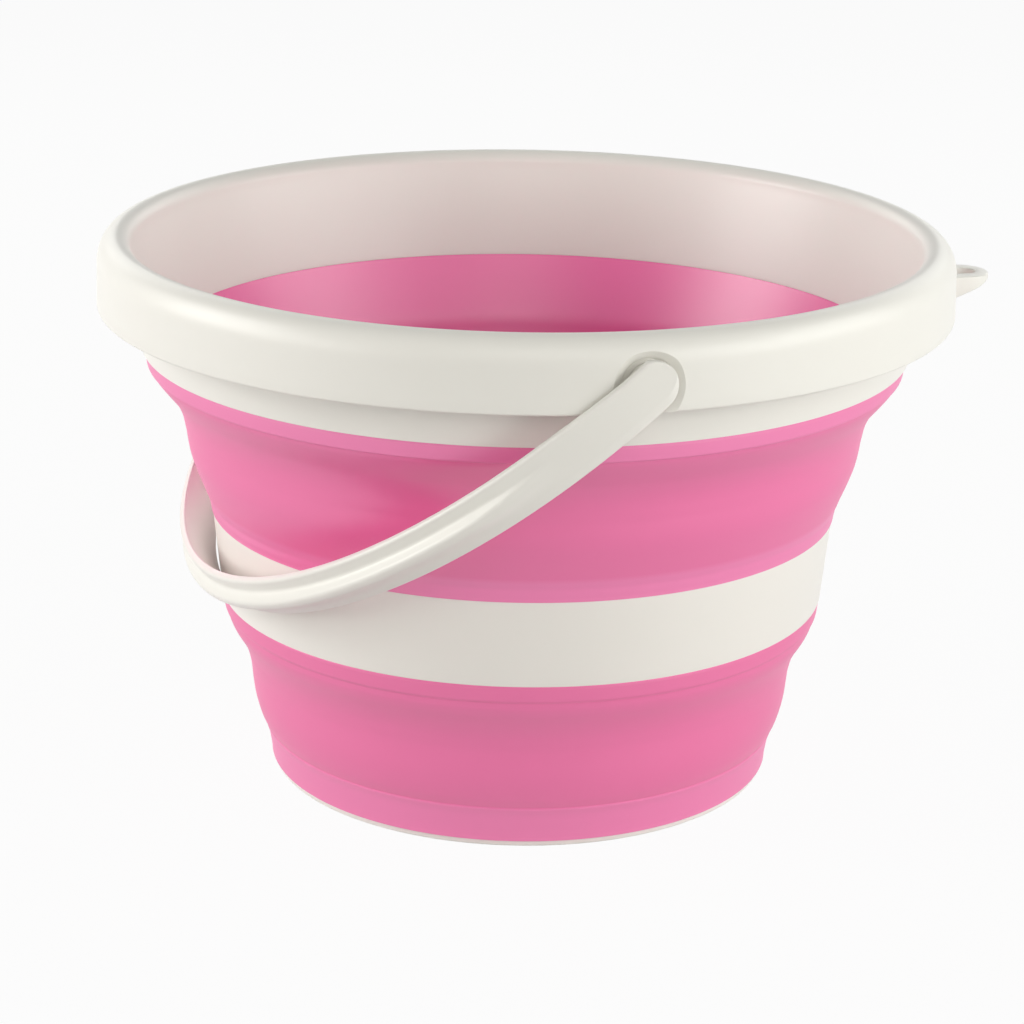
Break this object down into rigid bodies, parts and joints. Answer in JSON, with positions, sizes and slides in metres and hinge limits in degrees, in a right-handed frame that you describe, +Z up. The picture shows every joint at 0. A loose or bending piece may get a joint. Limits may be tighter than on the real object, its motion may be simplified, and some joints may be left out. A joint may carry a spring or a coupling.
{
  "type": "collapsible bucket",
  "caption": "Folding camp bucket: stiff white rim, middle ring and base joined by two soft pink folding walls, with a swinging bail and a hang tab.",
  "frame": {"origin": "centre of the plane that the bucket stands on, on the bucket's axis", "axes": "+Z up along the bucket's axis, +X towards the hang tab, Y along the bail's pivots; the bail hangs towards -X"},
  "size_m": [0.3467, 0.3284, 0.2086],
  "materials": {
    "white_plastic": "warm white moulded plastic with a satin surface",
    "pink_rubber": "soft pink thermoplastic rubber with a fine matte surface"
  },
  "bodies": {
    "base": {"base": "white_plastic", "lower_bellows": "pink_rubber"},
    "mid_ring": {"mid_ring": "white_plastic", "upper_bellows": "pink_rubber"},
    "rim": {"rim": "white_plastic"},
    "bail": {"bail_handle": "white_plastic"}
  },
  "joints": [
    {"name": "mid_ring_slide", "type": "slide", "parent": "base", "child": "mid_ring", "axis": [0, 0, -1], "range_m": [0, 0.065], "deforming": ["lower_bellows"]},
    {"name": "rim_slide", "type": "slide", "parent": "mid_ring", "child": "rim", "axis": [0, 0, -1], "range_m": [0, 0.077], "deforming": ["upper_bellows"]},
    {"name": "bail_hinge", "type": "hinge", "parent": "rim", "child": "bail", "pos_m": [0, 0, 0.192], "axis": [0, 1, 0], "range_deg": [0, 219.8]}
  ]
}
